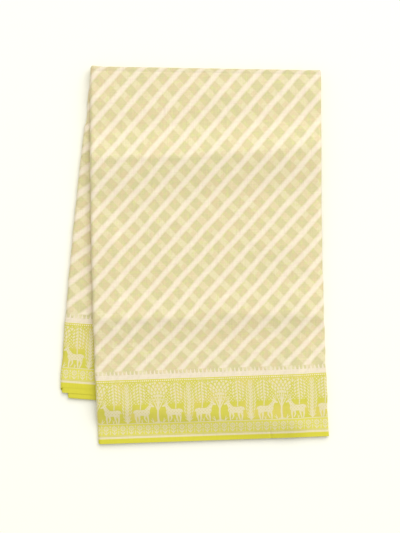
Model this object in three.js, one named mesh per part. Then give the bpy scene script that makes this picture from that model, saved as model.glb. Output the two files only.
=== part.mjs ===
// A silk saree folded for the shelf and laid down flat, with both of its woven borders towards the viewer.
//
// The 6 m length is folded into sixteen panels, one on the other, and that strip is turned over once across
// the cloth's width. The back half lies on the surface. The front half lies on it, a little askew, so that a
// ledge of the back half shows on the left, and it hangs over the back half's right and lower edges on to
// the surface. The outermost sheet wraps the pack's left side. The panels inside are one solid, layered
// at its edges.
//
// Millimetres. +Z is up, +X is to the right and +Y runs up the cloth to the turned edge.
// The origin is the middle of the footprint, on the surface that the saree lies on.

import * as THREE from "three";

// The cloth and how it is folded.
const CLOTH_WIDTH = 1143; // selvedge to selvedge, from a 45 inch loom
const PANEL_WIDTH = 375; // one sixteenth of the 6 m length
const HALF_HEIGHT = 10; // sixteen panels, one on the other
const SLIT = 0.6; // air between the front half and the back half
const WALL = 1.2; // one sheet of cloth
const GAP = 0.3; // between neighbouring pieces
const BORDER = 105; // the woven border, from its selvedge
const SELVEDGE_BLOCK = 24; // how far up the borders the inner panels are shown as a piece of their own

// Where the corners of the two halves lie, seen from above.
const FOLD = { left: [-169.5, 308], right: [205.4, 301.5] };
const FRONT_END = { left: [-157.2, -308], right: [219, -294.8] };
const BACK_END = { left: [-220.1, -214.5], right: [153.5, -242] };
const FRONT_SWAY = 4.3; // how far the front half's long edges bow to the left
const BACK_SWAY = 3.5;
const LEDGE_TUCK = { by: 3.2, from: 14 }; // the ledge's lower corner is drawn in

// The front half's crosswise ridges: the rise of its face, by distance from the front selvedge.
const RIDGES = [
  { at: 0, rise: 0 },
  { at: 150, rise: 0 },
  { at: 210, rise: 3.4 },
  { at: 255, rise: 2.2 },
  { at: 395, rise: 2.2 },
  { at: 472, rise: 5 },
  { at: 535, rise: 0.4 },
  { at: 590, rise: 0 },
];
const RIDGE_LEAN = 9; // a ridge's right end lies this much nearer to the fold
const DROP_START = 6; // beyond the back half's edge, where the front half begins to fall
const DROP_LENGTH = 42; // and the distance in which it reaches the surface

// The inner panels' edges.
const STEP_SECOND = { reach: 8.8, inset: 4, depth: 3 }; // the second panel's selvedge on the ledge
const STEP_THIRD = { reach: 17, inset: 12 }; // and that of the panels below it
const UNDER = { reach: 14, corner: 22 }; // the lowest sheet's selvedge, past the ledge's, and its cut corner
const RIDGE_DEPTH = 1.2; // how far the edges of neighbouring panels differ
const HOOK = 2.5; // radius at which the outer sheet turns down its right edge

// How finely the shapes are cut.
const ACROSS = [24, 78, 140, 205, 255, 288, 312, 334, 354]; // from the panel's left edge
const FRONT_ROWS = [
  0, 12, SELVEDGE_BLOCK, 42, 60, 78, BORDER, 128, 150, 168, 186, 202, 216, 232, 255, 320, 395, 420, 444, 462, 480,
  498, 516, 535, 565,
];
const BACK_ROWS = [0, 12, SELVEDGE_BLOCK, 60, BORDER, 190, 280, 370, 460];
const TURN_SHOWS_TO = 460; // the back half's distance at which the turned stretch ends
const TURN_STEPS = 8;
const HOOK_STEPS = 4;
const SIDE_STEPS = 6;
const PANEL_STEPS = 10;

const mix = THREE.MathUtils.lerp;
const smooth = (x) => THREE.MathUtils.smoothstep(x, 0, 1);
const point = ([x, y]) => new THREE.Vector2(x, y);

const foldLeft = point(FOLD.left);
const foldRight = point(FOLD.right);
const outward = foldRight.clone().sub(foldLeft).normalize().rotateAround(new THREE.Vector2(), Math.PI / 2);
const TURN_RADIUS = HALF_HEIGHT + SLIT / 2;
const TURN_LENGTH = Math.PI * TURN_RADIUS;
const turnLeft = foldLeft.clone().addScaledVector(outward, -TURN_RADIUS);
const turnRight = foldRight.clone().addScaledVector(outward, -TURN_RADIUS);
const frontLeft = point(FRONT_END.left);
const frontRight = point(FRONT_END.right);
const backLeft = point(BACK_END.left);
const backRight = point(BACK_END.right);

// The cloth in each half, from its selvedge to where the turn begins.
const FRONT_LENGTH = { left: frontLeft.distanceTo(turnLeft), right: frontRight.distanceTo(turnRight) };
const BACK_LENGTH = {
  left: CLOTH_WIDTH - TURN_LENGTH - FRONT_LENGTH.left,
  right: CLOTH_WIDTH - TURN_LENGTH - FRONT_LENGTH.right,
};

// Rows are straight and parallel to the selvedge near it, and to the fold near the fold.
function clothBelow(length, row, u) {
  const mean = (length.left + length.right) / 2;
  return row * mix(mean, mix(length.left, length.right, u), row * row);
}

const rowOf = (length, distance) => distance / ((length.left + length.right) / 2);

// The rise of the front half's face above a flat pack.
function rise(cloth, u) {
  const at = cloth - RIDGE_LEAN * (u - 0.5) * smooth(cloth / 150);
  const next = RIDGES.findIndex((ridge) => ridge.at > at);
  if (next < 1) return 0;
  const [from, to] = [RIDGES[next - 1], RIDGES[next]];
  return mix(from.rise, to.rise, smooth((at - from.at) / (to.at - from.at)));
}

// How far a point lies beyond a line through two points, to the right of the way from the first to the second.
function beyond(x, y, from, to) {
  const [dx, dy] = [to.x - from.x, to.y - from.y];
  return ((x - from.x) * -dy + (y - from.y) * dx) / -Math.hypot(dx, dy);
}

// The height of what the front half rests on: the back half, and past its edges the surface.
function support(x, y) {
  const right = Math.max(0, beyond(x, y, backRight, turnRight) - DROP_START);
  const below = Math.max(0, beyond(x, y, backLeft, backRight) - STEP_THIRD.reach - DROP_START);
  return (HALF_HEIGHT + SLIT) * (1 - smooth(Math.hypot(right, below) / DROP_LENGTH));
}

// Where a point of the pack lies. across runs from the panels' left edge to their right, and row from 0 at the
// front selvedge to 1 at the turn, 2 behind it and 3 at the back selvedge. level is 0 on the inner faces,
// which touch, and HALF_HEIGHT on the outer ones. reach carries a point past the selvedge at either end.
function place(across, row, level, reach = 0) {
  const u = across / PANEL_WIDTH;
  const turn = turnLeft.clone().lerp(turnRight, u);
  if (row > 1 && row < 2) {
    const angle = Math.PI * (row - 1);
    const radius = SLIT / 2 + level;
    const middle = turn.addScaledVector(outward, radius * Math.sin(angle));
    return new THREE.Vector3(middle.x, middle.y, TURN_RADIUS + radius * Math.cos(angle));
  }
  const front = row <= 1;
  const length = front ? FRONT_LENGTH : BACK_LENGTH;
  const cloth = clothBelow(length, front ? row : 3 - row, u) - reach;
  const share = cloth / mix(length.left, length.right, u);
  const end = front ? frontLeft.clone().lerp(frontRight, u) : backLeft.clone().lerp(backRight, u);
  const plan = end.lerp(turn, share);
  plan.x -= (front ? FRONT_SWAY : BACK_SWAY) * Math.sin(Math.PI * THREE.MathUtils.clamp(share, 0, 1));
  if (!front) {
    plan.x += LEDGE_TUCK.by * smooth(1 - cloth / LEDGE_TUCK.from);
    return new THREE.Vector3(plan.x, plan.y, HALF_HEIGHT - level);
  }
  const swell = 1 + rise(cloth, u) / HALF_HEIGHT;
  return new THREE.Vector3(plan.x, plan.y, support(plan.x, plan.y) + level * swell);
}

const frontRow = (distance) => rowOf(FRONT_LENGTH, distance);
const backRow = (distance) => 3 - rowOf(BACK_LENGTH, distance);
const ROWS = [
  ...FRONT_ROWS.map(frontRow),
  ...Array.from({ length: TURN_STEPS + 1 }, (_, i) => 1 + i / TURN_STEPS),
  ...BACK_ROWS.map(backRow).reverse(),
];
const NEAR = 0.002; // rows nearer than this to a stretch's end are left out of it
const rowsBetween = (from, to) => [from, ...ROWS.filter((row) => row > from + NEAR && row < to - NEAR), to];

// Turns points and triangles into a closed mesh, with the triangles facing out.
function solid(name, colour, points, faces) {
  const geometry = new THREE.BufferGeometry().setFromPoints(points);
  geometry.setIndex(faces.flat());
  geometry.computeVertexNormals();
  const material = new THREE.MeshStandardMaterial({ color: colour, roughness: 0.6, metalness: 0 });
  const mesh = new THREE.Mesh(geometry, material);
  mesh.name = name;
  return mesh;
}

const quad = (a, b, c, d) => [a, b, c, a, c, d];

// One side of the outer sheet in section, as steps across and levels: down its right edge, over the face,
// round the pack's left side and back between the two halves.
function sheetSection(depth) {
  const section = [];
  for (let i = 0; i <= HOOK_STEPS; i++) {
    const angle = Math.PI * (i / HOOK_STEPS - 0.5);
    const radius = HOOK - depth;
    section.push([PANEL_WIDTH - HOOK + radius * Math.cos(angle), HALF_HEIGHT - HOOK + radius * Math.sin(angle)]);
  }
  section.push(...ACROSS.toReversed().map((across) => [across, HALF_HEIGHT - depth]));
  for (let i = 0; i <= SIDE_STEPS; i++) {
    const angle = Math.PI * (i / SIDE_STEPS + 0.5);
    const radius = HALF_HEIGHT / 2 - depth;
    section.push([HALF_HEIGHT / 2 + radius * Math.cos(angle), HALF_HEIGHT / 2 + radius * Math.sin(angle)]);
  }
  section.push(...[...ACROSS, PANEL_WIDTH - HOOK].map((across) => [across, depth]));
  return section;
}

// A stretch of the outer sheet, swept along the cloth from one row to another.
function sheet(name, colour, from, to) {
  const outer = sheetSection(0);
  const inner = sheetSection(WALL);
  const ring = [...outer, ...inner.toReversed()];
  const rows = rowsBetween(from, to);
  const points = [];
  const faces = [];
  for (const row of rows) {
    for (const [across, level] of ring) {
      const reach = row === 3 ? UNDER.reach * smooth(level / HALF_HEIGHT) * smooth(across / UNDER.corner) : 0;
      points.push(place(across, row, level, reach));
    }
  }
  const count = ring.length;
  const at = (r, i) => r * count + (i % count);
  for (let r = 0; r + 1 < rows.length; r++) {
    for (let i = 0; i < count; i++) faces.push(quad(at(r, i), at(r + 1, i), at(r + 1, i + 1), at(r, i + 1)));
  }
  const last = rows.length - 1;
  for (let i = 0; i + 1 < outer.length; i++) {
    const [a, b, c, d] = [i, i + 1, count - 2 - i, count - 1 - i];
    faces.push(quad(at(0, a), at(0, b), at(0, c), at(0, d)));
    faces.push(quad(at(last, a), at(last, d), at(last, c), at(last, b)));
  }
  return solid(name, colour, points, faces);
}

// The inner panels' edges at each level: where the left and right ones lie, and how far the two ends reach.
const LOWEST = WALL + GAP;
const HIGHEST = HALF_HEIGHT - WALL - GAP;
const notched = (step) => (step % 2 ? 0 : RIDGE_DEPTH);
function leftEdge(level) {
  const radius = HALF_HEIGHT / 2 - WALL - GAP;
  const rise = level - HALF_HEIGHT / 2;
  return HALF_HEIGHT / 2 - Math.sqrt(Math.max(0, radius * radius - rise * rise));
}
function rightEdge(level, step) {
  if (level > HALF_HEIGHT - 2 * HOOK - 1) return PANEL_WIDTH - HOOK - GAP;
  return PANEL_WIDTH - HOOK / 4 - notched(step);
}

// The inner panels as one solid between two rows. At each level, ends gives how far the low and the high row
// reach past the selvedge, and how far the left edge is inset.
function panels(name, colour, from, to, ends) {
  const rows = rowsBetween(from, to);
  const levelOf = (step) => mix(HIGHEST, LOWEST, step / PANEL_STEPS);
  const wide = ACROSS.length + 1;
  const long = rows.length - 1;
  const points = [];
  const faces = [];
  const index = new Map();
  const vertex = (i, j, step) => {
    const key = `${i},${j},${step}`;
    if (index.has(key)) return index.get(key);
    const level = levelOf(step);
    const end = j === 0 ? ends.low : j === long ? ends.high : undefined;
    const left = leftEdge(level) + (ends.inset?.(level) ?? 0);
    const across = [left, ...ACROSS, rightEdge(level, step)][i];
    points.push(place(across, rows[j], level, end?.(step, level) ?? 0));
    index.set(key, points.length - 1);
    return points.length - 1;
  };
  for (let j = 0; j < long; j++) {
    for (let i = 0; i < wide; i++) {
      const corners = [[i, j], [i + 1, j], [i + 1, j + 1], [i, j + 1]];
      faces.push(quad(...corners.map(([a, b]) => vertex(a, b, 0))));
      faces.push(quad(...corners.map(([a, b]) => vertex(a, b, PANEL_STEPS)).toReversed()));
    }
  }
  for (let step = 0; step < PANEL_STEPS; step++) {
    const wall = (i0, j0, i1, j1) => {
      const [top, bottom] = [step, step + 1];
      faces.push(quad(vertex(i0, j0, top), vertex(i0, j0, bottom), vertex(i1, j1, bottom), vertex(i1, j1, top)));
    };
    for (let i = 0; i < wide; i++) {
      wall(i, 0, i + 1, 0);
      wall(i + 1, long, i, long);
    }
    for (let j = 0; j < long; j++) {
      wall(wide, j, wide, j + 1);
      wall(0, j + 1, 0, j);
    }
  }
  return solid(name, colour, points, faces);
}

// The ends of the inner panels: notched in front, and in steps on the ledge.
const stepAt = (level) => (level < STEP_SECOND.depth ? STEP_SECOND : STEP_THIRD);
const frontEnds = { low: (step) => -GAP - notched(step) };
const backEnds = {
  high: (step, level) => stepAt(level).reach - notched(step) / 2,
  inset: (level) => stepAt(level).inset,
};

const FIELD_COLOUR = "#ece0b6"; // cream stripes over pale olive checks
const BORDER_COLOUR = "#dbd662"; // lime, figured in cream
const SELVEDGE_COLOUR = "#d6d23c"; // plain lime

const saree = new THREE.Group();
saree.add(
  sheet("front_border", BORDER_COLOUR, 0, frontRow(BORDER)),
  sheet("front_field", FIELD_COLOUR, frontRow(BORDER + GAP), frontRow(FRONT_LENGTH.right)),
  sheet("top_turn", FIELD_COLOUR, frontRow(FRONT_LENGTH.right + GAP), backRow(TURN_SHOWS_TO)),
  sheet("back_field", FIELD_COLOUR, backRow(TURN_SHOWS_TO - GAP), backRow(BORDER + GAP)),
  sheet("back_border", BORDER_COLOUR, backRow(BORDER), 3),
  panels("inner_panels", FIELD_COLOUR, frontRow(SELVEDGE_BLOCK + GAP), backRow(SELVEDGE_BLOCK + GAP), {}),
  panels("front_selvedges", SELVEDGE_COLOUR, 0, frontRow(SELVEDGE_BLOCK), frontEnds),
  panels("back_selvedges", SELVEDGE_COLOUR, backRow(SELVEDGE_BLOCK), 3, backEnds),
);

export default saree;
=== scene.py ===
import math

import bpy
import numpy as np
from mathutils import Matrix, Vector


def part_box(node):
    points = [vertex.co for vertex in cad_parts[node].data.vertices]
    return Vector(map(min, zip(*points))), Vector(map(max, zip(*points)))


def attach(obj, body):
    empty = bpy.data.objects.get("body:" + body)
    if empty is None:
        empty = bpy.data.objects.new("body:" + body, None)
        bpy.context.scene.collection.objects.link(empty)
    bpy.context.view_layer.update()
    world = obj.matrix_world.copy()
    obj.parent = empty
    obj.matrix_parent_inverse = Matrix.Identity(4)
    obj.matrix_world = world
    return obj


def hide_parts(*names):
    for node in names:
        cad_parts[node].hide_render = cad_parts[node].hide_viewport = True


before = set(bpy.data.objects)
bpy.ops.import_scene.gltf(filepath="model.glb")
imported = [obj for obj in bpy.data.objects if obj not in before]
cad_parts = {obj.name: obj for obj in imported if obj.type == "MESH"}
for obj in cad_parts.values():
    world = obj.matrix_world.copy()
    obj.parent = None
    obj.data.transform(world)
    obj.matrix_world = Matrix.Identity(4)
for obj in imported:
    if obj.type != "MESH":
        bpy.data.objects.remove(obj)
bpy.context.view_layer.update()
MM = 0.001

# The cloth and its folds, in millimetres.
CLOTH_WIDTH = 1143
PANEL_WIDTH = 375
HALF_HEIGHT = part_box("back_field")[1].z / MM
SLIT = 0.6
PLIES = 16
PLY_PITCH = HALF_HEIGHT / PLIES
CLOTH_THICK = 0.35

# Where the corners of the two halves lie, seen from above.
FOLD_LEFT, FOLD_RIGHT = np.array([-169.5, 308]), np.array([205.4, 301.5])
FRONT_LEFT, FRONT_RIGHT = np.array([-157.2, -308]), np.array([219, -294.8])
BACK_LEFT, BACK_RIGHT = np.array([-220.1, -214.5]), np.array([153.5, -242])
FRONT_SWAY, BACK_SWAY = 4.3, 3.5  # how far their sides bow to the left, half way up
EDGE_WAVES = ((83, 0.5), (37, 0.34), (14.3, 0.14))  # length and size of a folded edge's unevenness
FRONT_WAVER, BACK_WAVER = 1.1, 2.3  # where those waves start
TUCK_BY, TUCK_FROM = 1.6, 14  # the back half's corner, pushed in beside the selvedge
EAR_BY, EAR_WIDTH = 2.2, 8  # the turned edge's left corner, which stands out a little
DROP_START, DROP_LENGTH = 6, 42  # how the front half sinks to the surface, past what carries it

# The front half's crosswise ridges: distance from the front selvedge, and the rise of the face there.
RIDGES = {
    0: 0, 118: 0, 158: 0.2, 208: 5.6, 262: 1.8, 330: 2.4,
    388: 1.7, 464: 8.7, 521: 0.1, 557: 1.2, 592: 0,
}
RIDGE_LEAN, RIDGE_LEAN_FROM = 9, 150  # how far they climb to the right, from this far above the selvedge

# Smaller creases on the front half: where each starts and ends, as (across, along), its width and its rise.
FRONT_CREASES = [
    ((-10, 467), (160, 462), 6, 1.3),
    ((150, 462), (385, 475), 9, 0.9),
    ((235, 457), (330, 462), 16, 1.3),
    ((-10, 205), (160, 202), 7, 1.7),
    ((205, 207), (385, 197), 8, 1.2),
    ((345, 192), (385, 190), 8, 0.8),
    ((-14, 330), (46, 336), 34, 2.6),
    ((-14, 268), (46, 272), 56, 2.2),
    ((-10, 222), (118, 218), 12, 0.6),
    ((56, 380), (118, 408), 7, 1.2),
    ((92, 352), (150, 366), 14, 0.8),
    ((262, 318), (342, 308), 20, 1.2),
    ((285, 150), (279, 12), 7, 0.6),
    ((22, 96), (26, 8), 12, 0.5),
    ((50, 562), (170, 556), 12, -0.8),
    ((262, 556), (350, 553), 12, -0.8),
    ((190, 566), (240, 560), 15, 0.5),
    ((335, 282), (382, 256), 7, 0.7),
    ((-8, 514), (44, 500), 7, 0.7),
    ((110, 250), (205, 262), 18, 0.5),
]
# The pack is thinner towards its selvedges, where no folds hold the plies apart.
THIN_BY, THIN_FROM = 0.36, 100
SELVEDGE_PINCH = ((281, -2), (280, 12), 1.5, -1.3)
# A pleat in the back half's folded edge, near the turn: it sets the edge in, and fades upwards and inwards.
BACK_PLEAT = {"at": 421, "step": 5, "inset": 2.5, "fades_from": 427, "fades": 42, "reaches": 40}
BACK_CREASES = [
    ((-6, 430), (16, 422), 2.6, -2.0),
    ((-6, 416), (26, 411), 5, 0.9),
    ((-6, 487), (16, 481), 5, -1.8),
    ((0, 250), (30, 262), 12, 0.35),
    ((2, 330), (40, 322), 9, 0.3),
    ((0, 130), (40, 118), 10, 0.3),
]


def smooth(x):
    x = np.clip(x, 0, 1)
    return x * x * (3 - 2 * x)


def unit(v):
    return v / np.linalg.norm(v)


TURN_RADIUS = HALF_HEIGHT + SLIT / 2
TURN_LENGTH = math.pi * TURN_RADIUS
OUTWARD = unit((FOLD_RIGHT - FOLD_LEFT) @ np.array([[0, 1], [-1, 0]]))
TURN_LEFT, TURN_RIGHT = FOLD_LEFT - OUTWARD * TURN_RADIUS, FOLD_RIGHT - OUTWARD * TURN_RADIUS


def reach_of(side_left, side_right):
    """The cloth from a half's selvedge to the turn, along its left and right edges."""
    left, right = np.linalg.norm(side_left - TURN_LEFT), np.linalg.norm(side_right - TURN_RIGHT)
    return np.array([left, right])


FRONT_LENGTH = reach_of(FRONT_LEFT, FRONT_RIGHT)
BACK_LENGTH = CLOTH_WIDTH - TURN_LENGTH - FRONT_LENGTH


def crease(across, along, start, end, width, rise):
    """A soft ridge, or a trough where rise is negative, that dies away at both ends."""
    start, end = np.array(start, float), np.array(end, float)
    way = end - start
    share = ((across - start[0]) * way[0] + (along - start[1]) * way[1]) / (way @ way)
    off = np.hypot(across - start[0] - share * way[0], along - start[1] - share * way[1])
    ends = smooth(share * 4 + 0.5) * smooth((1 - share) * 4 + 0.5)
    return rise * np.exp(-((off / width) ** 2)) * ends


def face_rise(across, along):
    """How far the front half's face stands above a flat pack."""
    at = along - RIDGE_LEAN * (across / PANEL_WIDTH - 0.5) * smooth(along / RIDGE_LEAN_FROM)
    height = np.zeros_like(at)
    stops = list(RIDGES.items())
    for (low, low_rise), (high, high_rise) in zip(stops, stops[1:]):
        share = smooth((at - low) / (high - low))
        height += (high_rise - low_rise) * share
    for line in [*FRONT_CREASES, SELVEDGE_PINCH]:
        height += crease(across, along, *line)
    return height


def beyond(x, y, start, end):
    """How far a point lies to the right of the way from start to end."""
    dx, dy = end - start
    return ((x - start[0]) * dy - (y - start[1]) * dx) / math.hypot(dx, dy)


LEDGE_REACH = 17  # of the plies that show below the ledge, past its selvedge


def support(x, y):
    """The height of what the front half rests on: the back half, and past its edges the surface."""
    right = np.maximum(0, beyond(x, y, BACK_RIGHT, TURN_RIGHT) - DROP_START)
    below = np.maximum(0, beyond(x, y, BACK_LEFT, BACK_RIGHT) - LEDGE_REACH - DROP_START)
    return (HALF_HEIGHT + SLIT) * (1 - smooth(np.hypot(right, below) / DROP_LENGTH))


def waver(along, start):
    """A hand-folded edge's small unevenness, from waves of unlike length."""
    total = 0
    for k, (length, size) in enumerate(EDGE_WAVES):
        total = total + size * np.sin(2 * math.pi * along / length + start * (k + 1.7))
    return total


def pleat_inset(across, along):
    """How far the pleat sets the back half's edge in."""
    step = smooth((along - BACK_PLEAT["at"]) / BACK_PLEAT["step"])
    fade = 1 - smooth((along - BACK_PLEAT["fades_from"]) / BACK_PLEAT["fades"])
    return BACK_PLEAT["inset"] * step * fade * (1 - smooth(across / BACK_PLEAT["reaches"]))


def place(across, row, level, reach=0.0):
    """Where a point of the pack lies, and its distance along the cloth's width from the front selvedge.

    across runs from the panels' left edge to their right. row is 0 at the front selvedge, 1 and 2 at the
    two ends of the turn and 3 at the back selvedge. level is 0 on the inner faces and HALF_HEIGHT on the
    outer ones. reach carries a point past the selvedge.
    """
    u = across / PANEL_WIDTH
    turn = TURN_LEFT + (TURN_RIGHT - TURN_LEFT) * u[..., None]
    spot = np.zeros(across.shape + (3,))
    width_at = np.zeros(across.shape)
    for front, left, right, lengths, sway, waver_start in (
        (True, FRONT_LEFT, FRONT_RIGHT, FRONT_LENGTH, FRONT_SWAY, FRONT_WAVER),
        (False, BACK_LEFT, BACK_RIGHT, BACK_LENGTH, BACK_SWAY, BACK_WAVER),
    ):
        here = row <= 1 if front else row >= 2
        row_share = row if front else 3 - row
        own = lengths[0] + (lengths[1] - lengths[0]) * u
        cloth = row_share * (lengths.mean() + (own - lengths.mean()) * row_share**2) - reach
        share = cloth / own
        end = left + (right - left) * u[..., None]
        plan = end + (turn - end) * share[..., None]
        x, y = plan[..., 0] - sway * np.sin(math.pi * np.clip(share, 0, 1)), plan[..., 1]
        x = x + waver(cloth, waver_start) * (1 - smooth(share))
        thin = 1 - THIN_BY * (1 - smooth(cloth / THIN_FROM))
        if front:
            z = support(x, y) + level * (thin + face_rise(across, cloth) / HALF_HEIGHT)
        else:
            x = x + TUCK_BY * smooth(1 - cloth / TUCK_FROM) + pleat_inset(across, cloth)
            dent = sum(crease(across, cloth, *line) for line in BACK_CREASES)
            z = (HALF_HEIGHT - level) * (thin + dent / HALF_HEIGHT)
        spot[here] = np.stack([x, y, z], -1)[here]
        width_at[here] = (cloth if front else CLOTH_WIDTH - cloth)[here]
    around = (row > 1) & (row < 2)
    angle = math.pi * (row - 1)
    radius = SLIT / 2 + level
    stands_out = radius + EAR_BY * np.exp(-((across / EAR_WIDTH) ** 2)) * level / HALF_HEIGHT
    middle = turn + OUTWARD * (stands_out * np.sin(angle))[..., None]
    bent = np.concatenate([middle, (TURN_RADIUS + radius * np.cos(angle))[..., None]], -1)
    spot[around] = bent[around]
    from_front = FRONT_LENGTH[0] + (FRONT_LENGTH[1] - FRONT_LENGTH[0]) * u + TURN_RADIUS * angle
    width_at[around] = from_front[around]
    return spot, width_at


# How far each ply's selvedge reaches past the outermost one's, by ply from the inner face to the outer.
FRONT_REACH = [-1.2, -0.8, -1.5, -0.6, -1.9, -1.1, -0.5, -1.6, -0.9, -1.3, -0.4, -1.7, -0.8, -1.2, -0.5, 0]
BACK_REACH = [0, 8.8, 8.1, 15.6, 16.9, 16.2, 15.1, 17, 16.4, 15.8, 16.8, 15.3, 16.6, 8.0, 8.4, 7]
FRONT_REACH_FADES, BACK_REACH_FADES = 25, 40
# How far the plies' folds are set in at the ledge's corner, from the outermost pair to the innermost, and
# how far that setting in goes up from the selvedge and across the panel.
LEDGE_INSET = [0, 2.2, 3.3, 11.2, 10.5, 11.6, 10.9, 11.9]
INSET_LENGTH, INSET_ACROSS = 46, 90
# The lowest ply's selvedge keeps back from the ledge's corner: where it starts to reach out, and over what.
CORNER_START, CORNER_LENGTH = 5, 18


class Way:
    """A path through the pack in section: a point every few millimetres, ply after ply."""

    def __init__(self):
        self.points = []

    def add(self, across, level, ply, inset):
        self.points.append((across, level, FRONT_REACH[ply], BACK_REACH[ply], inset))

    def run(self, ply, start, end, stops):
        """Runs along a ply from start to end across the panel, with points at the stops between them."""
        low, high = sorted((start, end))
        between = [stop for stop in stops if low + 0.5 < stop < high - 0.5]
        if start > end:
            between.reverse()
        for across in [start, *between, end]:
            self.add(across, (ply + 0.5) * PLY_PITCH, ply, inset_of(ply))

    def turn(self, ply, to_ply, centre, side, steps):
        """Turns from one ply into another round a half circle at a panel's edge: side is -1 at the left."""
        radius = abs(to_ply - ply) * PLY_PITCH / 2
        middle = (ply + to_ply + 1) / 2 * PLY_PITCH
        sense = math.copysign(1, to_ply - ply)
        for step in range(1, steps):
            angle = math.pi * (step / steps - 0.5)
            share = step / steps
            across = centre + side * radius * math.cos(angle)
            level = middle + sense * radius * math.sin(angle)
            front = FRONT_REACH[ply] + (FRONT_REACH[to_ply] - FRONT_REACH[ply]) * share
            back = BACK_REACH[ply] + (BACK_REACH[to_ply] - BACK_REACH[ply]) * share
            self.points.append((across, level, front, back, inset_of(ply)))

    def arrays(self):
        return np.array(self.points, float).T


def inset_of(ply):
    return LEDGE_INSET[min(ply, PLIES - 1 - ply)]


LEFT_TURN = HALF_HEIGHT / 2
# Where the folds at the panel's right edge lie: pairs of plies, and how far in from the edge each sits.
RIGHT_FOLDS = {
    (15, 8): 2.4, (14, 9): 2.5, (13, 10): 2.7, (12, 11): 2.9,
    (0, 3): 1.2, (1, 2): 1.9,
    (4, 5): 2.6,
}
FREE_ENDS = {7: 4.4, 6: 3.1}
RIGHT_CENTRE = {frozenset(pair): PANEL_WIDTH - inset for pair, inset in RIGHT_FOLDS.items()}


def follow(way, plies, first, last, stops, steps):
    """Adds the listed plies to a way, turning at the right and the left edge by turns.

    It starts at first and ends at last, both measured across the panel.
    """
    at = first
    for ply, following in zip(plies, [*plies[1:], None]):
        heading_left = at > PANEL_WIDTH / 2
        if following is None:
            end = last
        elif heading_left:
            end = LEFT_TURN
        else:
            end = RIGHT_CENTRE[frozenset((ply, following))]
        way.run(ply, at, end, stops)
        if following is not None:
            way.turn(ply, following, end, -1 if heading_left else 1, steps)
        at = end


def rows_of(front_stops, turn_steps, back_stops):
    """Rows from distances above the front selvedge, over the turn, to distances above the back selvedge."""
    front = [stop / FRONT_LENGTH.mean() for stop in front_stops]
    turn = [1 + step / turn_steps for step in range(turn_steps + 1)]
    back = [3 - stop / BACK_LENGTH.mean() for stop in reversed(back_stops)]
    return np.array([*front, *turn, *back])


def spaced(stops, spacing):
    """Fills the stretches between stops evenly, no further apart than spacing."""
    filled = [stops[0]]
    for low, high in zip(stops, stops[1:]):
        count = max(1, math.ceil((high - low) / spacing))
        filled += [low + (high - low) * (k + 1) / count for k in range(count)]
    return filled


def closed_grid(name, spots, uvs):
    """A closed shell from a grid of points on its two faces: spots is [face, row, point, xyz]."""
    _, rows, points, _ = spots.shape
    number = np.arange(2 * rows * points).reshape(2, rows, points)
    upper, lower = number

    def quads(a, b, c, d):
        return np.stack([a, b, c, d], -1).reshape(-1, 4)

    faces = [
        quads(upper[:-1, :-1], upper[1:, :-1], upper[1:, 1:], upper[:-1, 1:]),
        quads(lower[:-1, :-1], lower[:-1, 1:], lower[1:, 1:], lower[1:, :-1]),
        quads(upper[0, :-1], upper[0, 1:], lower[0, 1:], lower[0, :-1]),
        quads(upper[-1, :-1], lower[-1, :-1], lower[-1, 1:], upper[-1, 1:]),
        quads(upper[:-1, 0], lower[:-1, 0], lower[1:, 0], upper[1:, 0]),
        quads(upper[:-1, -1], upper[1:, -1], lower[1:, -1], lower[:-1, -1]),
    ]
    faces = np.concatenate(faces)
    mesh = bpy.data.meshes.new(name)
    mesh.from_pydata((spots.reshape(-1, 3) * MM).tolist(), [], faces.tolist())
    for label, uv in uvs.items():
        layer = mesh.uv_layers.new(name=label)
        layer.data.foreach_set("uv", uv.reshape(-1, 2)[faces.ravel()].ravel())
    mesh.polygons.foreach_set("use_smooth", np.ones(len(faces), bool))
    mesh.set_sharp_from_angle(angle=math.radians(50))
    mesh.update()
    piece = bpy.data.objects.new(name, mesh)
    bpy.context.collection.objects.link(piece)
    return piece


# The square that the materials are baked on: where the strip for the cloth's outer face and the one for its
# inner face start, and how wide they are. Ways lie a small gap apart on it.
BAKE_STRIPS = ((0.004, 0.8), (0.814, 0.18))
BAKE_START, BAKE_HEIGHT = 0.004, CLOTH_WIDTH * 1.02
WAY_GAP = 8
BORDER_TOP = 104


def swept(way, rows, run, slack):
    """The two faces of a shell of cloth that follows a way across the pack, swept over the rows."""
    across, level, front_reach, back_reach, inset = way
    tangent = np.stack([np.gradient(across), np.gradient(level)], -1)
    tangent /= np.linalg.norm(tangent, axis=1)[:, None]
    from_front, from_back = rows * FRONT_LENGTH.mean(), (3 - rows) * BACK_LENGTH.mean()
    near_front = smooth(1 - from_front / FRONT_REACH_FADES)[:, None]
    near_back = smooth(1 - from_back / BACK_REACH_FADES)[:, None]
    set_in = smooth(1 - from_back / INSET_LENGTH)[:, None]
    for side in (0.5, -0.5):
        a = across - tangent[:, 1] * side * CLOTH_THICK
        b = level + tangent[:, 0] * side * CLOTH_THICK
        row = np.repeat(rows[:, None], len(a), 1)
        a, b, s = (np.repeat(v[None], len(rows), 0) for v in (a, b, run))
        a = a + inset * set_in * (1 - smooth(a / INSET_ACROSS))
        b = b * (1 - slack)
        lowest = back_reach == BACK_REACH[-1]
        corner = np.where(lowest, smooth((a - CORNER_START) / CORNER_LENGTH), 1)
        reach = front_reach * near_front + back_reach * corner * near_back
        spot, width_at = place(a, row, b, reach)
        yield spot, s, width_at


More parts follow.
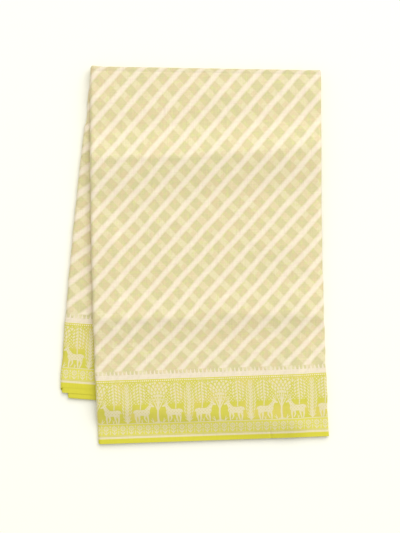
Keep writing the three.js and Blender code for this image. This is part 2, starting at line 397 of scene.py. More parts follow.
def cloth_piece(name, ways, rows, first_s, slack=0.0):
    """A shell of cloth along each way, swept over the rows, joined as one piece.

    first_s is where along the cloth the ways start; they run towards its other end, so the place along it
    falls. slack is the share by which its plies lie closer together than the pack's height would let them.
    """
    parts = []
    length_done = 0
    for way in ways:
        step = np.hypot(np.diff(way[0]), np.diff(way[1]))
        run = length_done + np.concatenate([[0], np.cumsum(step)])
        length_done = run[-1] + WAY_GAP
        parts.append(list(swept(way, rows, run, slack)))
    pieces = []
    for number, faces in enumerate(parts):
        cloth_uv = np.stack([np.stack([first_s - s, t], -1) for _, s, t in faces]) * MM
        bake_uv = np.stack([
            np.stack([start + width * s / length_done, BAKE_START + t / BAKE_HEIGHT], -1)
            for (_, s, t), (start, width) in zip(faces, BAKE_STRIPS)
        ])
        spots = np.stack([spot for spot, _, _ in faces])
        pieces.append(closed_grid(f"{name}_{number}", spots, {"cloth": cloth_uv, "OFBake": bake_uv}))
    bpy.ops.object.select_all(action="DESELECT")
    for piece in pieces:
        piece.select_set(True)
    first = pieces[0]
    bpy.context.view_layer.objects.active = first
    if len(pieces) > 1:
        bpy.ops.object.join()
    first.name = first.data.name = name
    return first


def linear(code):
    """An sRGB hex colour as linear RGBA."""
    parts = [int(code[k : k + 2], 16) / 255 for k in (1, 3, 5)]
    return [*(c / 12.92 if c <= 0.04045 else ((c + 0.055) / 1.055) ** 2.4 for c in parts), 1.0]


def add(tree, kind, *values, out=0, inputs=None, **settings):
    """Adds a node with its settings, feeds it values or other nodes' outputs, and returns its output.

    values go to the sockets in order, and inputs to those named. out is None where all outputs are wanted.
    """
    node = tree.nodes.new("ShaderNode" + kind)
    for key, value in settings.items():
        setattr(node, key, value)
    fed = {**dict(enumerate(values)), **(inputs or {})}
    for socket, value in fed.items():
        if isinstance(value, bpy.types.NodeSocket):
            tree.links.new(value, node.inputs[socket])
        elif value is not None:
            node.inputs[socket].default_value = value
    return node.outputs if out is None else node.outputs[out]


def layered(tree, colour, *layers):
    """Lays colours over one another in turn, each by a share from 0 to 1."""
    for share, over in layers:
        colour = add(tree, "Mix", inputs={0: share, 6: colour, 7: over}, out=2, data_type="RGBA")
    return colour


def ramp(tree, value, low, high):
    """0 below low and 1 above high, smooth between them. low may be the larger."""
    if low > high:
        rising = ramp(tree, value, high, low)
        return add(tree, "Math", 1.0, rising, operation="SUBTRACT")
    return add(tree, "MapRange", value, low, high, 0.0, 1.0, interpolation_type="SMOOTHSTEP")


def between(tree, value, low, high, soft):
    """1 from low to high, with soft edges."""
    rise = ramp(tree, value, low - soft, low + soft)
    fall = ramp(tree, value, high + soft, high - soft)
    return add(tree, "Math", rise, fall, operation="MULTIPLY")


# Sizes of what is woven, in millimetres. The real threads lie about 0.3 mm apart, which is too fine to
# show, so they are drawn nearly twice as coarse.
THREAD = 0.55
# The check's two sets of slanting lines: their spacing along the cloth and across it, and as shares of
# that, where they start, half their own width, and how they fade past it and inside it.
STRIPE = {"along_length": 33.9, "along_width": 37.2, "at": 0.095, "half": 0.15, "fades": (0.12, -0.09)}
BAND = {"along_length": 34.1, "along_width": 36.1, "at": 0.309, "half": 0.205, "fades": (0.045, -0.045)}
BESIDE_STRIPE, BESIDE_SOFT = (0.06, 0.13), 0.06
# The temple edge above the border: its spires' foot, height, half width at foot and tip, and spacing.
TEMPLE = {"foot": 112.0, "height": 6.4, "half_foot": 1.7, "half_tip": 0.45, "spacing": 6.5}
# Lines that run the cloth's length: from and to, measured from the selvedge.
CREAM_LINE, FINE_LINE, GROUND_LINE, BEAD_LINE = (7.7, 11.3), (12.4, 13.0), (31.2, 32.4), (100.6, 102.6)
FLOWER_ROW, ROW_GROUND, WORKED_GROUND = (14.0, 29.5), (13.4, 31.0), (11.0, 101.0)
BEAD_SPACING, BEAD_HALF = 3.2, 0.95
# The back half is pulled a little out of true: its check drifts along the cloth for each millimetre past
# the turned edge, and past the left fold its lines slant less.
BACK_DRIFT, LEDGE_SLANT = -0.047, -0.2
# The weft is beaten by hand, so the front half's check lies a few millimetres off in two places: across its
# middle, where that fades in and out, and just above the border.
BEAT_ACROSS = {"in": (190, 420), "out": (590, 450), "by": 4.4}
BEAT_LOW = {"in": (200, 125), "by": -6.0}
# Patches in the yarns, as noise cells to the millimetre: 56 mm where the lines drift, 6 mm where the dye is
# mottled, 29 mm where the lime is uneven. A slub is 25 mm long and 0.9 mm wide.
DRIFT_CELLS, MOTTLE_CELLS, LIME_CELLS = 0.018, 0.16, 0.035
SLUB_CELLS = (0.04, 1.1)
LINE_DRIFT = 5.0
TURN_START = float(FRONT_LENGTH[0])
TURN_SLOPE = float(FRONT_LENGTH[0] - FRONT_LENGTH[1]) / PANEL_WIDTH


def cloth_place(tree):
    """The shaded point's place on the cloth, in millimetres.

    It gives the point itself, its distance along the cloth, across it, and from the nearer selvedge.
    """
    uv = add(tree, "UVMap", uv_map="cloth")
    point = add(tree, "VectorMath", uv, inputs={3: 1000.0}, operation="SCALE")
    s, t, _ = add(tree, "SeparateXYZ", point, out=None)
    far = add(tree, "Math", float(CLOTH_WIDTH), t, operation="SUBTRACT")
    d = add(tree, "Math", t, far, operation="MINIMUM")
    return point, s, t, d


def woven(tree, value, thread=THREAD):
    """Steps a distance from thread to thread, so that a figure's edge is stepped as a woven one is."""
    return add(tree, "Math", value, thread, operation="SNAP")


def from_repeat(tree, s, t, repeat, slope):
    """How far off the nearest of a set of slanting lines is, in shares of their spacing, and its number."""
    a = add(tree, "Math", s, repeat["along_length"], operation="DIVIDE")
    b = add(tree, "Math", t, slope * repeat["along_width"], operation="DIVIDE")
    phase = add(tree, "Math", a, b, operation="ADD")
    phase = add(tree, "Math", phase, 0.5 - repeat["at"], operation="ADD")
    number = add(tree, "Math", phase, operation="FLOOR")
    part = add(tree, "Math", phase, number, operation="SUBTRACT")
    part = add(tree, "Math", part, 0.5, operation="SUBTRACT")
    return add(tree, "Math", part, operation="ABSOLUTE"), number


def yarn_relief(tree, s, t):
    """The height of plain-woven silk: warp and weft threads, in shares of a thread."""
    warp = add(tree, "Math", s, 2 * math.pi / THREAD, operation="MULTIPLY")
    weft = add(tree, "Math", t, 2 * math.pi / THREAD, operation="MULTIPLY")
    warp = add(tree, "Math", warp, operation="SINE")
    weft = add(tree, "Math", weft, operation="SINE")
    return add(tree, "Math", warp, weft, operation="MULTIPLY")


def slubs(tree, point):
    """Uneven yarn, which shows as fine streaks along the warp and along the weft."""
    lengthwise = add(tree, "VectorMath", point, (*SLUB_CELLS, 0.0), operation="MULTIPLY")
    crosswise = add(tree, "VectorMath", point, (*reversed(SLUB_CELLS), 0.0), operation="MULTIPLY")
    a = add(tree, "TexNoise", inputs={"Vector": lengthwise, "Scale": 1.0, "Detail": 2.0})
    b = add(tree, "TexNoise", inputs={"Vector": crosswise, "Scale": 1.0, "Detail": 2.0})
    return add(tree, "Math", a, b, operation="ADD")


WEAVE_RELIEF = 0.22 * MM


def silk_shader(name, colour_and_height):
    """Handwoven silk, with a colour and a height of its own.

    Its reeled yarns are smooth but cross at every thread, so it has a broad, soft highlight, a faint sheen
    where it turns away, and no mirror-like shine.
    """
    material = bpy.data.materials.new(name)
    material.use_nodes = True
    tree = material.node_tree
    tree.nodes.clear()
    colour, height = colour_and_height(tree)
    bump = add(tree, "Bump", inputs={"Strength": 0.5, "Distance": WEAVE_RELIEF, "Height": height})
    surface = add(
        tree, "BsdfPrincipled",
        inputs={
            "Base Color": colour, "Normal": bump, "Roughness": 0.52, "IOR": 1.54,
            "Sheen Weight": 0.15, "Sheen Roughness": 0.4, "Specular IOR Level": 0.35,
        },
    )
    output = tree.nodes.new("ShaderNodeOutputMaterial")
    tree.links.new(surface, output.inputs[0])
    return material


CREAM, ROSE = linear("#efe5c9"), linear("#efdfc8")  # the stripes' undyed silk: yellower, and pinker
CREAM_EDGE = linear("#ebdec3")  # the temple edge
OLIVE, STRAW = linear("#d4cc99"), linear("#e4daaf")  # the bands
PEACH, LEAF = linear("#e0ca9f"), linear("#d9d78f")  # warmer and greener patches of them
LIME = linear("#d6cf36")  # the plain selvedge
LIME_WORKED, LIME_WARM = linear("#d1cb4a"), linear("#d9cc5c")  # under the figures, unevenly dyed
LIME_ROW = linear("#dcd557")  # under the flower row
FIGURE = linear("#e4d9af")  # extra weft of undyed silk over lime
# Where in the noise the patches of tint start and are full, how strong they are, and how far the silk is
# lighter or darker in places; the darkening along the turned edge is painted shade.
PATCH = {"warm": (0.38, 0.78), "green": (0.5, 0.3), "rosy": (0.36, 0.64), "lime": (0.45, 0.7)}
TINT = {"warmer": 0.68, "greener": 0.6}
SHADE = {"streak": 0.22, "border streak": 0.14, "beside a stripe": -0.055, "painted_turn_shade": -0.16}
# How high things stand, as shares of the silk's whole relief, and how fully the extra weft covers the lime.
RELIEF = {"weave": 0.3, "check": 0.6, "figure": 0.9, "slub": 1.2, "border slub": 1.0}
COVER = {"flowers": 0.9, "cream line": 0.78}


def checked_field(tree):
    """The field: plain weave with its check in extra weft, which floats on the cloth and so stands proud.

    Cream stripes run one way, and bands of straw on olive lie under them the other way. The yarns are dyed
    by hand, so the blocks differ in tint, and the loom's beat lets the lines drift by a few millimetres.
    """
    point, s, t, d = cloth_place(tree)
    drift = add(tree, "TexNoise", inputs={"Vector": point, "Scale": DRIFT_CELLS, "Detail": 1.0})
    drift = add(tree, "Math", drift, 0.5, operation="SUBTRACT")
    drift = add(tree, "Math", drift, LINE_DRIFT, operation="MULTIPLY")
    s_drifted = add(tree, "Math", s, drift, operation="ADD")
    past_turn = add(tree, "Math", t, TURN_START, operation="SUBTRACT")
    past_turn = add(tree, "Math", past_turn, 0.0, operation="MAXIMUM")
    past_fold = add(tree, "Clamp", s, float(-PANEL_WIDTH), 0.0)
    s_drifted = add(tree, "Math", past_turn, BACK_DRIFT, s_drifted, operation="MULTIPLY_ADD")
    s_drifted = add(tree, "Math", past_fold, LEDGE_SLANT, s_drifted, operation="MULTIPLY_ADD")
    comes, goes = ramp(tree, t, *BEAT_ACROSS["in"]), ramp(tree, t, *BEAT_ACROSS["out"])
    off = add(tree, "Math", comes, goes, operation="MULTIPLY")
    t_drifted = add(tree, "Math", off, BEAT_ACROSS["by"], t, operation="MULTIPLY_ADD")
    off = ramp(tree, t, *BEAT_LOW["in"])
    t_drifted = add(tree, "Math", off, BEAT_LOW["by"], t_drifted, operation="MULTIPLY_ADD")
    s_step, t_step = woven(tree, s_drifted), woven(tree, t_drifted)
    stripe_off, stripe_number = from_repeat(tree, s_step, t_step, STRIPE, -1)
    band_off, band_number = from_repeat(tree, s_step, t_step, BAND, 1)
    light = ramp(tree, band_off, *(BAND["half"] + by for by in BAND["fades"]))
    stripe = ramp(tree, stripe_off, *(STRIPE["half"] + by for by in STRIPE["fades"]))
    beside = between(tree, stripe_off, *(STRIPE["half"] + by for by in BESIDE_STRIPE), BESIDE_SOFT)
    block = add(tree, "CombineXYZ", stripe_number, band_number, light)
    chance = add(tree, "TexWhiteNoise", block, noise_dimensions="3D")
    streak = slubs(tree, point)
    streak = add(tree, "Math", streak, 1.0, operation="SUBTRACT")
    mottle = add(tree, "TexNoise", inputs={"Vector": point, "Scale": MOTTLE_CELLS, "Detail": 2.0})
    warmth = add(tree, "Math", chance, 0.5, operation="MULTIPLY")
    warmth = add(tree, "Math", mottle, 0.5, warmth, operation="MULTIPLY_ADD")
    warmth = ramp(tree, warmth, *PATCH["warm"])
    warmth = add(tree, "Math", warmth, TINT["warmer"], operation="MULTIPLY")
    green = ramp(tree, mottle, *PATCH["green"])
    green = add(tree, "Math", green, TINT["greener"], operation="MULTIPLY")
    worked = layered(tree, OLIVE, (light, STRAW), (warmth, PEACH), (green, LEAF))
    # The temple edge: a plain cream band with a row of spires on it, above the border.
    foot, top = TEMPLE["foot"], TEMPLE["foot"] + TEMPLE["height"]
    spire_at = add(tree, "Math", s, TEMPLE["spacing"] / 2, operation="PINGPONG")
    climb = add(tree, "Math", d, foot, operation="SUBTRACT")
    widths = TEMPLE["half_foot"], TEMPLE["half_tip"]
    width_here = add(tree, "MapRange", climb, 0.0, TEMPLE["height"], *widths)
    inside = add(tree, "Math", spire_at, width_here, operation="LESS_THAN")
    above = ramp(tree, d, top - 0.8, top + 1.0)
    stripe = add(tree, "Math", stripe, above, operation="MULTIPLY")
    low_enough = ramp(tree, d, top + 0.2, top - 0.4)
    spire = add(tree, "Math", inside, low_enough, operation="MULTIPLY")
    band = ramp(tree, d, foot + 0.4, foot - 0.2)
    cream_edge = add(tree, "Math", spire, band, operation="MAXIMUM")
    rosy = ramp(tree, mottle, *PATCH["rosy"])
    stripe_colour = layered(tree, CREAM, (rosy, ROSE))
    colour = layered(tree, worked, (stripe, stripe_colour), (cream_edge, CREAM_EDGE))
    shade = add(tree, "Math", streak, SHADE["streak"], 1.0, operation="MULTIPLY_ADD")
    shade = add(tree, "Math", beside, SHADE["beside a stripe"], shade, operation="MULTIPLY_ADD")
    # Painted shade along the turned edge: the silk is made darker there to tone down the light that falls
    # on the curve.
    at_turn = add(tree, "Math", s, TURN_SLOPE, t, operation="MULTIPLY_ADD")
    painted_turn_shade = between(tree, at_turn, TURN_START + 1.5, TURN_START + TURN_LENGTH - 1.5, 1.5)
    shade = add(tree, "Math", painted_turn_shade, SHADE["painted_turn_shade"], shade, operation="MULTIPLY_ADD")
    colour = add(tree, "VectorMath", colour, inputs={3: shade}, operation="SCALE")
    height = add(tree, "Math", yarn_relief(tree, s, t), RELIEF["weave"], operation="MULTIPLY")
    raised = add(tree, "Math", stripe, cream_edge, operation="MAXIMUM")
    height = add(tree, "Math", raised, RELIEF["check"], height, operation="MULTIPLY_ADD")
    height = add(tree, "Math", streak, RELIEF["slub"], height, operation="MULTIPLY_ADD")
    return colour, height


# The border's forest, in millimetres: from the middle tree outwards, and up from the ground line. Each part
# is a stroke from one end to the other, with half its thickness at both ends. The other half mirrors it.
FOREST_REPEAT = 100
GROUND, FRIEZE_TOP = GROUND_LINE[1], 99.0
DEER = {
    "chest": ((18.5, 17.2), (27, 16.8), 5.2, 4.6),
    "rump": ((27, 16.8), (34, 17.6), 4.6, 4.7),
    "neck": ((18, 20), (12.8, 28.6), 4.0, 2.1),
    "head": ((12.8, 29.4), (7.6, 27.0), 2.4, 1.2),
    "ear": ((13.8, 31), (17.2, 32.6), 1.1, 0.4),
    "antler": ((12.6, 31), (15.4, 38.6), 0.75, 0.55),
    "tine": ((13.8, 34.2), (10.4, 38.2), 0.6, 0.5),
    "brow tine": ((12.8, 32.6), (9.4, 34.6), 0.55, 0.45),
    "foreleg": ((17.6, 14), (16.2, 7), 2.1, 1.2),
    "foreshank": ((16.2, 7), (16.6, 0.8), 1.2, 0.95),
    "raised leg": ((20.6, 14), (22.2, 7.4), 1.9, 1.1),
    "raised shank": ((22.2, 7.4), (19.6, 2.6), 1.1, 0.85),
    "thigh": ((35, 15), (36.4, 8), 3.0, 1.4),
    "hock": ((36.4, 8), (35, 0.8), 1.3, 0.95),
    "far thigh": ((31, 13.4), (30.4, 7.6), 2.4, 1.3),
    "far hock": ((30.4, 7.6), (32, 0.8), 1.2, 0.9),
    "tail": ((38, 20), (40.4, 16.6), 1.2, 0.5),
}
TREES = {
    "trunk": ((0, 0), (0, 46), 1.6, 0.9),
    "root": ((0, 1.2), (5.4, 0.4), 1.0, 0.5),
    "low bough": ((0, 20), (9.6, 40), 1.0, 0.5),
    "bough": ((0, 24), (4.6, 46), 0.9, 0.5),
    "palm trunk": ((28.6, 23), (28.6, 60), 0.8, 0.6),
    "cypress trunk": ((50, 0), (50, 60), 1.2, 0.6),
    "blade": ((50, 1), (45.6, 9.6), 1.0, 0.5),
    "long blade": ((50, 1), (43.8, 5.6), 0.9, 0.4),
    "tuft": ((7.6, 0.6), (9.8, 7.4), 0.8, 0.4),
    "tuft lean": ((7.6, 0.6), (12.4, 4.8), 0.8, 0.4),
    "grass": ((26.6, 0.4), (25.6, 5.8), 0.7, 0.35),
    "grass lean": ((26.6, 0.4), (28.4, 4.6), 0.7, 0.35),
}
# Small leaves and the deer's spots lie on one lattice. A leaflet keeps clear of what is drawn already, and
# a spot keeps inside a coat's edge.
LATTICE = 5.2
LEAFLET = {"half": 2.0, "clear": 0.8, "above": 31.0}
COAT_SPOT = {"half": 1.25, "inside": 2.2}
# The trees' leaves keep this far clear of the deer's stouter parts.
CLEARANCE, STOUT = 1.1, 1.5
FLOWER_REPEAT = 13.7
FLOWER = {"middle": 24.0, "petals": 8.0, "rim": 4.3, "lobe": 0.6, "eye": 1.6, "half_eye": 0.5}
FLOWER_STEMS = {
    "stem": ((0, 14.4), (0, 20), 0.7, 0.6),
    "leaf": ((0, 15.0), (4.0, 18.8), 1.2, 0.6),
    "bud stem": ((6.85, 14.4), (6.85, 19.6), 0.5, 1.1),
    "upper bud": ((6.85, 26.6), (6.85, 28.2), 1.3, 0.9),
    "petal between": ((6.85, 22.6), (5.9, 23.4), 0.6, 0.5),
}
# Crowns of leaves: middle, half width and half height, leaf spacing across and up, and the leaves' lean.
CROWNS = {
    "behind the deer": ((30, 49), (10.2, 18.5), (5.4, 5.2), -0.7),
    "cypress": ((50, 34), (8.6, 32), (4.4, 5.4), 1.2),
}


def stroke(tree, point, start, end, thick, thin, drawn):
    """Adds a stroke with round ends to what is drawn: the distance from its edge, less than 0 inside it."""
    start, end = np.array([*start, 0.0]), np.array([*end, 0.0])
    way = end - start
    off = add(tree, "VectorMath", point, tuple(-start), operation="ADD")
    share = add(tree, "VectorMath", off, tuple(way / (way @ way)), out=1, operation="DOT_PRODUCT")
    share = add(tree, "Clamp", share)
    back = add(tree, "VectorMath", tuple(-way), inputs={3: share}, operation="SCALE")
    off = add(tree, "VectorMath", off, back, operation="ADD")
    length = add(tree, "VectorMath", off, out=1, operation="LENGTH")
    radius = add(tree, "Math", share, thin - thick, thick, operation="MULTIPLY_ADD")
    edge = add(tree, "Math", length, radius, operation="SUBTRACT")
    if drawn is None:
        return edge
    return add(tree, "Math", drawn, edge, operation="MINIMUM")


def crown(tree, x, y, middle, half, spacing, lean):
    """A tree's crown: slanting leaves in staggered rows inside an oval."""
    leaf_size, leaf_narrowed = 0.35, 0.86
    ox = add(tree, "Math", x, -middle[0], operation="ADD")
    oy = add(tree, "Math", y, -middle[1], operation="ADD")
    ex = add(tree, "Math", ox, 1 / half[0], operation="MULTIPLY")
    ey = add(tree, "Math", oy, 1 / half[1], operation="MULTIPLY")
    oval = add(tree, "VectorMath", add(tree, "CombineXYZ", ex, ey), out=1, operation="LENGTH")
    column = add(tree, "Math", ox, 1 / spacing[0], operation="MULTIPLY")
    column = add(tree, "Math", column, operation="ABSOLUTE")
    number = add(tree, "Math", column, operation="FLOOR")
    lx = add(tree, "Math", column, number, operation="SUBTRACT")
    lx = add(tree, "Math", lx, 0.5, operation="SUBTRACT")
    stagger = add(tree, "Math", number, 0.5, 0.0, operation="MULTIPLY_ADD")
    up = add(tree, "Math", oy, 1 / spacing[1], stagger, operation="MULTIPLY_ADD")
    up = add(tree, "Math", lx, -lean, up, operation="MULTIPLY_ADD")
    ly = add(tree, "Math", up, operation="FRACT")
    ly = add(tree, "Math", ly, 0.5, operation="SUBTRACT")
    leaf = add(tree, "CombineXYZ", add(tree, "Math", lx, leaf_narrowed, operation="MULTIPLY"), ly)
    leaf = add(tree, "VectorMath", leaf, out=1, operation="LENGTH")
    leaf = add(tree, "Math", leaf, leaf_size, operation="SUBTRACT")
    leaf = add(tree, "Math", leaf, min(spacing), operation="MULTIPLY")
    outside = add(tree, "Math", oval, 1.0, operation="SUBTRACT")
    outside = add(tree, "Math", outside, min(half), operation="MULTIPLY")
    return add(tree, "Math", leaf, outside, operation="MAXIMUM")


# The middle tree's crown, which opens like a fan: the height that it opens from, its inner and outer
# radius, half its angle, and its leaves' spacing outwards and sideways (the latter as an angle).
FAN = {"from": 20, "inner": 12, "outer": 47, "half_angle": 0.46, "outwards": 5.4, "sideways": 0.17}
FAN_LEAF = {"half": 0.38, "largest": 1.9, "narrowed": 0.72}


def fan(tree, x, y):
    """Leaves in staggered rings, each pointing outwards."""
    oy = add(tree, "Math", y, -FAN["from"], operation="ADD")
    radius = add(tree, "VectorMath", add(tree, "CombineXYZ", x, oy), out=1, operation="LENGTH")
    angle = add(tree, "Math", x, oy, operation="ARCTAN2")
    ring = add(tree, "Math", radius, 1 / FAN["outwards"], operation="MULTIPLY")
    number = add(tree, "Math", ring, operation="FLOOR")
    out_part = add(tree, "Math", ring, number, operation="SUBTRACT")
    out_part = add(tree, "Math", out_part, 0.5, operation="SUBTRACT")
    out_part = add(tree, "Math", out_part, FAN["outwards"] * FAN_LEAF["narrowed"], operation="MULTIPLY")
    stagger = add(tree, "Math", number, 0.5, operation="MULTIPLY")
    side_part = add(tree, "Math", angle, 1 / FAN["sideways"], stagger, operation="MULTIPLY_ADD")
    side_part = add(tree, "Math", side_part, operation="FRACT")
    side_part = add(tree, "Math", side_part, 0.5, operation="SUBTRACT")
    side_part = add(tree, "Math", side_part, radius, operation="MULTIPLY")
    side_part = add(tree, "Math", side_part, FAN["sideways"], operation="MULTIPLY")
    leaf = add(tree, "VectorMath", add(tree, "CombineXYZ", out_part, side_part), out=1, operation="LENGTH")
    size = add(tree, "Math", radius, FAN["sideways"] * FAN_LEAF["half"], operation="MULTIPLY")
    size = add(tree, "Math", size, FAN_LEAF["largest"], operation="MINIMUM")
    leaf = add(tree, "Math", leaf, size, operation="SUBTRACT")
    beyond_it = add(tree, "Math", radius, FAN["outer"], operation="SUBTRACT")
    before_it = add(tree, "Math", FAN["inner"], radius, operation="SUBTRACT")
    beside_it = add(tree, "Math", angle, FAN["half_angle"], operation="SUBTRACT")
    beside_it = add(tree, "Math", beside_it, radius, operation="MULTIPLY")
    for limit in (beyond_it, before_it, beside_it):
        leaf = add(tree, "Math", leaf, limit, operation="MAXIMUM")
    return leaf


def figured_border(tree):
    """The border: lime silk with its figures in cream, between a flower row and a line of beads.

    The figures are brocaded on the loom with an extra weft, so their edges are stepped from thread to
    thread, they stand proud of the lime, and the lime shows through them a little.
    """
    point, s, t, d = cloth_place(tree)
    s_step, d_step = woven(tree, s), woven(tree, d)
    x = add(tree, "Math", s_step, FOREST_REPEAT / 2, operation="PINGPONG")
    y = add(tree, "Math", d_step, GROUND, operation="SUBTRACT")
    spot = add(tree, "CombineXYZ", x, y)
    drawn = None
    for start, end, thick, thin in [*DEER.values(), *TREES.values()]:
        drawn = stroke(tree, spot, start, end, thick, thin, drawn)
    deer_room = None
    for start, end, thick, thin in DEER.values():
        if thick > STOUT:
            deer_room = stroke(tree, spot, start, end, thick + CLEARANCE, thin + CLEARANCE, deer_room)
    crowns = [crown(tree, x, y, *size) for size in CROWNS.values()]
    for leaves in [*crowns, fan(tree, x, y)]:
        clear = add(tree, "Math", deer_room, -1.0, operation="MULTIPLY")
        leaves = add(tree, "Math", leaves, clear, operation="MAXIMUM")
        drawn = add(tree, "Math", drawn, leaves, operation="MINIMUM")
    # Small leaves wherever the sky between the crowns would be bare, and spots on the deer's coats.
    slant = add(tree, "Math", x, y, operation="ADD")
    slant = add(tree, "Math", slant, LATTICE / 2, operation="PINGPONG")
    other_slant = add(tree, "Math", x, y, operation="SUBTRACT")
    other_slant = add(tree, "Math", other_slant, LATTICE / 2, operation="PINGPONG")
    speck = add(tree, "Math", slant, other_slant, operation="ADD")
    leaflet = add(tree, "Math", speck, LEAFLET["half"], operation="SUBTRACT")
    room = add(tree, "Math", LEAFLET["clear"], drawn, operation="SUBTRACT")
    leaflet = add(tree, "Math", leaflet, room, operation="MAXIMUM")
    under = add(tree, "Math", LEAFLET["above"], y, operation="SUBTRACT")
    leaflet = add(tree, "Math", leaflet, under, operation="MAXIMUM")
    drawn = add(tree, "Math", drawn, leaflet, operation="MINIMUM")
    coat = add(tree, "Math", deer_room, COAT_SPOT["inside"], operation="ADD")
    spot_edge = add(tree, "Math", speck, COAT_SPOT["half"], operation="SUBTRACT")
    spot_edge = add(tree, "Math", spot_edge, coat, operation="MAXIMUM")
    hole = add(tree, "Math", 0.0, spot_edge, operation="SUBTRACT")
    drawn = add(tree, "Math", drawn, hole, operation="MAXIMUM")
    forest = ramp(tree, drawn, 0.5, -0.5)
    in_frieze = between(tree, d, GROUND, FRIEZE_TOP, 0.3)
    forest = add(tree, "Math", forest, in_frieze, operation="MULTIPLY")
    # The flower row under the ground line.
    flower_x = add(tree, "Math", s_step, FLOWER_REPEAT / 2, operation="PINGPONG")
    petal_y = add(tree, "Math", d_step, -FLOWER["middle"], operation="ADD")
    angle = add(tree, "Math", petal_y, flower_x, operation="ARCTAN2")
    lobes = add(tree, "Math", angle, FLOWER["petals"], operation="MULTIPLY")
    lobes = add(tree, "Math", lobes, operation="COSINE")
    radius = add(tree, "VectorMath", add(tree, "CombineXYZ", flower_x, petal_y), out=1, operation="LENGTH")
    rim = add(tree, "Math", lobes, FLOWER["lobe"], FLOWER["rim"], operation="MULTIPLY_ADD")
    flower = add(tree, "Math", radius, rim, operation="SUBTRACT")
    eye = add(tree, "Math", radius, FLOWER["eye"], operation="SUBTRACT")
    eye = add(tree, "Math", eye, operation="ABSOLUTE")
    eye = add(tree, "Math", FLOWER["half_eye"], eye, operation="SUBTRACT")
    flower = add(tree, "Math", flower, eye, operation="MAXIMUM")
    stem_spot = add(tree, "CombineXYZ", flower_x, d_step)
    for start, end, thick, thin in FLOWER_STEMS.values():
        flower = stroke(tree, stem_spot, start, end, thick, thin, flower)
    flowers = ramp(tree, flower, 0.5, -0.5)
    flowers = add(tree, "Math", flowers, between(tree, d, *FLOWER_ROW, 0.2), operation="MULTIPLY")
    flowers = add(tree, "Math", flowers, COVER["flowers"], operation="MULTIPLY")
    # The lines, and the beads below the temple edge.
    ground_line = between(tree, d, *GROUND_LINE, 0.25)
    cream_line = between(tree, d, *CREAM_LINE, 0.5)
    cream_line = add(tree, "Math", cream_line, COVER["cream line"], operation="MULTIPLY")
    fine_line = between(tree, d, *FINE_LINE, 0.2)
    bead = add(tree, "Math", s_step, BEAD_SPACING / 2, operation="PINGPONG")
    bead = add(tree, "Math", bead, BEAD_HALF, operation="LESS_THAN")
    beads = add(tree, "Math", bead, between(tree, d, *BEAD_LINE, 0.2), operation="MULTIPLY")
    figure = forest
    for layer in (flowers, ground_line, cream_line, fine_line, beads):
        figure = add(tree, "Math", figure, layer, operation="MAXIMUM")
    worked = between(tree, d, *WORKED_GROUND, 0.4)
    streak = slubs(tree, point)
    streak = add(tree, "Math", streak, 1.0, operation="SUBTRACT")
    uneven = add(tree, "TexNoise", inputs={"Vector": point, "Scale": LIME_CELLS, "Detail": 1.0})
    uneven = ramp(tree, uneven, *PATCH["lime"])
    lime_here = layered(tree, LIME_WORKED, (uneven, LIME_WARM))
    in_row = between(tree, d, *ROW_GROUND, 0.5)
    ground = layered(tree, LIME, (worked, lime_here), (in_row, LIME_ROW))
    thread_colour = layered(tree, CREAM_EDGE, (worked, FIGURE))
    colour = layered(tree, ground, (figure, thread_colour))
    shade = add(tree, "Math", streak, SHADE["border streak"], 1.0, operation="MULTIPLY_ADD")
    colour = add(tree, "VectorMath", colour, inputs={3: shade}, operation="SCALE")
    height = add(tree, "Math", yarn_relief(tree, s, t), RELIEF["weave"], operation="MULTIPLY")
    height = add(tree, "Math", figure, RELIEF["figure"], height, operation="MULTIPLY_ADD")
    height = add(tree, "Math", streak, RELIEF["border slub"], height, operation="MULTIPLY_ADD")
    return colour, height


def dress(piece, field, border):
    """Gives a piece of the cloth its two weaves: the border's up to the temple edge, the field's beyond."""
    mesh = piece.data
    mesh.materials.clear()
    mesh.materials.append(field)
    mesh.materials.append(border)
    loops = np.empty(len(mesh.loops) * 2)
    mesh.uv_layers["cloth"].data.foreach_get("uv", loops)
    width_at = loops.reshape(-1, 2)[:, 1] / MM
    starts = np.empty(len(mesh.polygons), int)
    mesh.polygons.foreach_get("loop_start", starts)
    middle = sum(width_at[starts + corner] for corner in range(4)) / 4
    edge = np.minimum(middle, CLOTH_WIDTH - middle)
    mesh.polygons.foreach_set("material_index", (edge < BORDER_TOP).astype(int))


def camera_above():
    """A camera straight above, framing what the photograph frames."""
    metres_per_pixel, pixel_rows = 0.001635, 533
    middle = (0.0087, -0.0181)
    picture_height = pixel_rows * metres_per_pixel
    camera = bpy.data.cameras.new("camera")
    camera.sensor_width = 36
    distance = 2.4
    camera.lens = camera.sensor_width * distance / picture_height
    holder = bpy.data.objects.new("camera", camera)
    holder.location = (*middle, distance)
    bpy.context.collection.objects.link(holder)
    bpy.context.scene.camera = holder


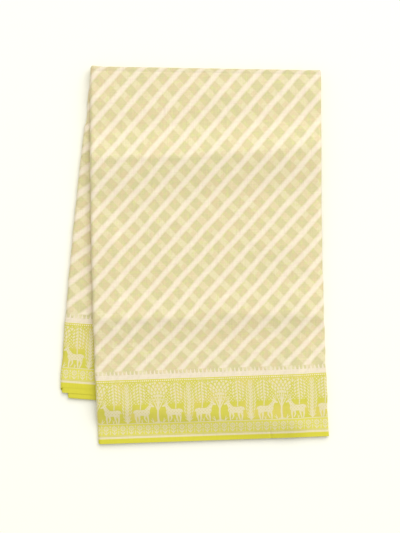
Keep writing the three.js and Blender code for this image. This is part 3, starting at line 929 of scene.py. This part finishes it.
def studio():
    """A pale floor in a bright white room, with a broad soft light from the upper right."""
    world = bpy.data.worlds.new("room")
    bpy.context.scene.world = world
    world.use_nodes = True
    world.node_tree.nodes["Background"].inputs["Color"].default_value = linear("#fffefb")
    world.node_tree.nodes["Background"].inputs["Strength"].default_value = 0.6
    lamp = bpy.data.lights.new("key", "AREA")
    lamp.shape = "DISK"
    lamp.size = 11.0
    lamp.energy = 738
    holder = bpy.data.objects.new("key", lamp)
    holder.location = (2.6, 5.1, 6.6)
    holder.rotation_mode = "QUATERNION"
    holder.rotation_quaternion = (-holder.location).to_track_quat("-Z", "Y")
    bpy.context.collection.objects.link(holder)
    mesh = bpy.data.meshes.new("floor")
    half, height = 4.0, -0.0004
    corners = [(-half, -half, height), (half, -half, height), (half, half, height), (-half, half, height)]
    mesh.from_pydata(corners, [], [(0, 1, 2, 3)])
    floor = bpy.data.objects.new("floor", mesh)
    bpy.context.collection.objects.link(floor)
    paper = bpy.data.materials.new("white_paper")
    paper.use_nodes = True
    surface = paper.node_tree.nodes["Principled BSDF"]
    surface.inputs["Base Color"].default_value = linear("#fbfaee")
    surface.inputs["Roughness"].default_value = 0.9
    surface.inputs["Specular IOR Level"].default_value = 0.0
    mesh.materials.append(paper)
    bpy.context.scene.view_settings.view_transform = "Standard"


camera_above()
studio()
OUTER_TAIL, INNER_TAIL = PANEL_WIDTH - 14, PANEL_WIDTH - 16
FACE_START = 391.1  # the outer ply's first end, along the cloth from the face's left edge


def outer_way_of():
    """The outermost ply: out of the pack at the right edge, over the face, round the left edge and back."""
    way = Way()
    right, inner_right = RIGHT_CENTRE[frozenset((15, 8))], RIGHT_CENTRE[frozenset((0, 3))]
    way.run(8, OUTER_TAIL, right, [])
    way.turn(8, 15, right, 1, 6)
    pinch_stops = [279, 280.2, 281, 281.8, 283]
    face_stops = [*spaced([LEFT_TURN, 277.4], 4.0), *pinch_stops, *spaced([284.6, right], 4.0)]
    way.run(15, right, LEFT_TURN, face_stops)
    way.turn(15, 0, LEFT_TURN, -1, 8)
    way.run(0, LEFT_TURN, inner_right, spaced([LEFT_TURN, 90, inner_right], 6.5))
    way.turn(0, 3, inner_right, 1, 4)
    way.run(3, inner_right, OUTER_TAIL, [])
    return way.arrays()


front_rows = spaced([0, BORDER_TOP, FRONT_LENGTH.mean() - 1], 4.2)
back_rows = spaced([0, BORDER_TOP, BACK_LENGTH.mean() - 1], 6.5)
outer_rows = rows_of(front_rows, 14, back_rows)
outer = cloth_piece("outer_ply", [outer_way_of()], outer_rows, FACE_START)

inner_stops = spaced([16, 352], 19)
inner_front_rows = spaced([0, 12, BORDER_TOP, FRONT_LENGTH.mean() - 1], 10.5)
inner_back_rows = spaced([0, 24, BORDER_TOP, BACK_LENGTH.mean() - 1], 14)
inner_rows = rows_of(inner_front_rows, 12, inner_back_rows)


def inner_ways():
    """The plies inside: from one free end to the outermost ply, and from its other end to the other."""
    short, long = Way(), Way()
    follow(short, [7, 8], PANEL_WIDTH - FREE_ENDS[7], INNER_TAIL, inner_stops, 5)
    long_plies = [3, 12, 11, 4, 5, 10, 13, 2, 1, 14, 9, 6]
    follow(long, long_plies, INNER_TAIL, PANEL_WIDTH - FREE_ENDS[6], inner_stops, 5)
    return [short.arrays(), long.arrays()]


INNER_START = 1000  # the inner plies' first end, along the cloth from the face's left edge
inner = cloth_piece("inner_plies", inner_ways(), inner_rows, INNER_START, slack=0.06)

field_silk = silk_shader("handwoven_silk_checked_field", checked_field)
border_silk = silk_shader("handwoven_silk_figured_border", figured_border)
for piece in (outer, inner):
    dress(piece, field_silk, border_silk)
    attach(piece, "root")

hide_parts("front_border", "front_field", "top_turn", "back_field", "back_border")
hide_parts("inner_panels", "front_selvedges", "back_selvedges")
